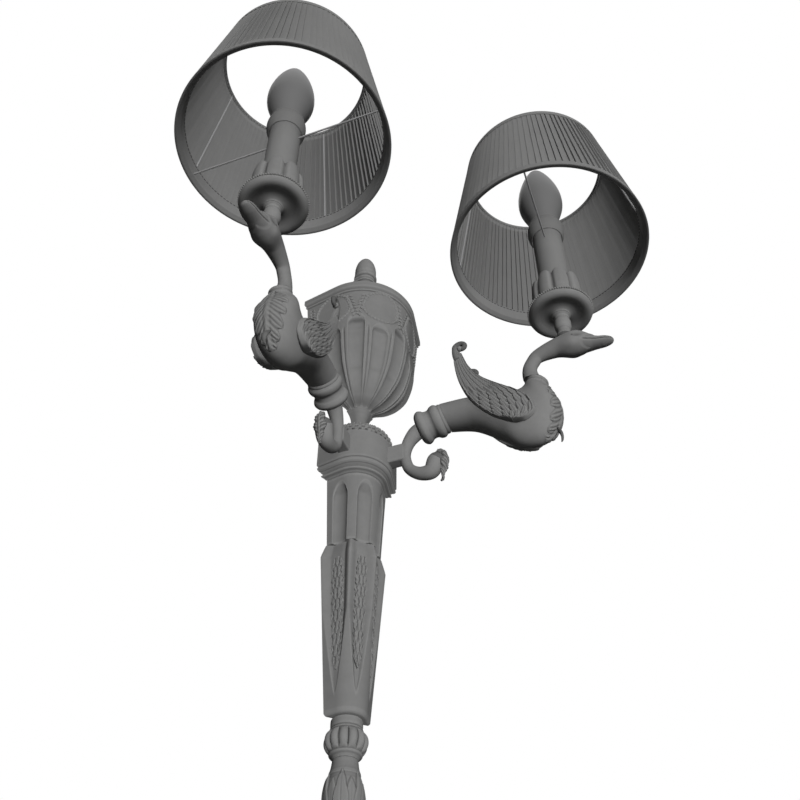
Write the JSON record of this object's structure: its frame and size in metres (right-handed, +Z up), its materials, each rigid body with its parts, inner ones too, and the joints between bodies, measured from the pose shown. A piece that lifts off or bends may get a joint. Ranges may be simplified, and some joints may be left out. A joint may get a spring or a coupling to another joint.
{
  "type": "wall sconce",
  "caption": "Wall light: half urn on a fluted, tapering stem, with swan-shaped arms that carry candle lamps under pleated drum shades.",
  "frame": {"origin": "on the back face of the wall plate, on the plane of symmetry, level with the arms where they leave the collar", "axes": "+Z up, +Y into the wall, +X to the right as seen from the room; the room lies at negative y"},
  "size_m": [0.436, 0.234, 0.6609],
  "materials": {
    "bronze": "cast bronze under a flat grey patina, satin to matt",
    "steel": "plain zinc-plated steel",
    "card": "smooth grey moulded sleeve, matt",
    "moulded": "dark moulding, satin",
    "glass": "frosted candle bulb, opaque coating",
    "contact_brass": "plain rolled brass",
    "cloth": "grey woven cloth in pressed knife pleats",
    "wire": "round wire under grey enamel"
  },
  "bodies": {
    "root": {"acorn_finial": "bronze", "urn_lid": "bronze", "urn_bowl": "bronze", "urn_foot": "bronze", "laurel_ring": "bronze", "collar_drum": "bronze", "fluted_shaft": "bronze", "sheath": "bronze", "knop": "bronze", "leaf_drop": "bronze", "stem_pipe": "steel", "mounting_channel": "steel", "wall_plate": "steel", "channel_screw_left": "steel", "channel_screw_right": "steel", "right_arm_bar": "bronze", "right_scroll": "bronze", "right_spool": "bronze", "right_swan_body": "bronze", "right_breast_leaf": "bronze", "right_neck_ring": "bronze", "right_swan_neck": "bronze", "right_wing_front": "bronze", "right_wing_back": "bronze", "right_nipple": "steel", "right_pan_stem": "bronze", "right_drip_pan": "bronze", "right_petal_cup": "bronze", "right_candle_sleeve": "card", "right_sleeve_cap": "card", "right_lampholder": "moulded", "left_arm_bar": "bronze", "left_scroll": "bronze", "left_spool": "bronze", "left_swan_body": "bronze", "left_breast_leaf": "bronze", "left_neck_ring": "bronze", "left_swan_neck": "bronze", "left_wing_front": "bronze", "left_wing_back": "bronze", "left_nipple": "steel", "left_pan_stem": "bronze", "left_drip_pan": "bronze", "left_petal_cup": "bronze", "left_candle_sleeve": "card", "left_sleeve_cap": "card", "left_lampholder": "moulded"},
    "right_shade": {"right_shade_frame": "wire", "right_shade_fabric": "cloth", "right_shade_bottom_band": "cloth", "right_shade_top_band": "cloth"},
    "right_bulb": {"right_bulb": "glass", "right_bulb_cap": "contact_brass"},
    "left_shade": {"left_shade_frame": "wire", "left_shade_fabric": "cloth", "left_shade_bottom_band": "cloth", "left_shade_top_band": "cloth"},
    "left_bulb": {"left_bulb": "glass", "left_bulb_cap": "contact_brass"}
  },
  "joints": [
    {"name": "right_shade_turn", "type": "hinge", "parent": "root", "child": "right_shade", "pos_m": [0.12799, -0.14399, 0.2132], "axis": [0, 0, 1], "continuous": true},
    {"name": "right_bulb_turn", "type": "hinge", "parent": "root", "child": "right_bulb", "pos_m": [0.12799, -0.14399, 0.24], "axis": [0, 0, 1], "range_deg": [0, 1080]},
    {"name": "left_shade_turn", "type": "hinge", "parent": "root", "child": "left_shade", "pos_m": [-0.12799, -0.14399, 0.2132], "axis": [0, 0, 1], "continuous": true},
    {"name": "left_bulb_turn", "type": "hinge", "parent": "root", "child": "left_bulb", "pos_m": [-0.12799, -0.14399, 0.24], "axis": [0, 0, 1], "range_deg": [0, 1080]}
  ]
}
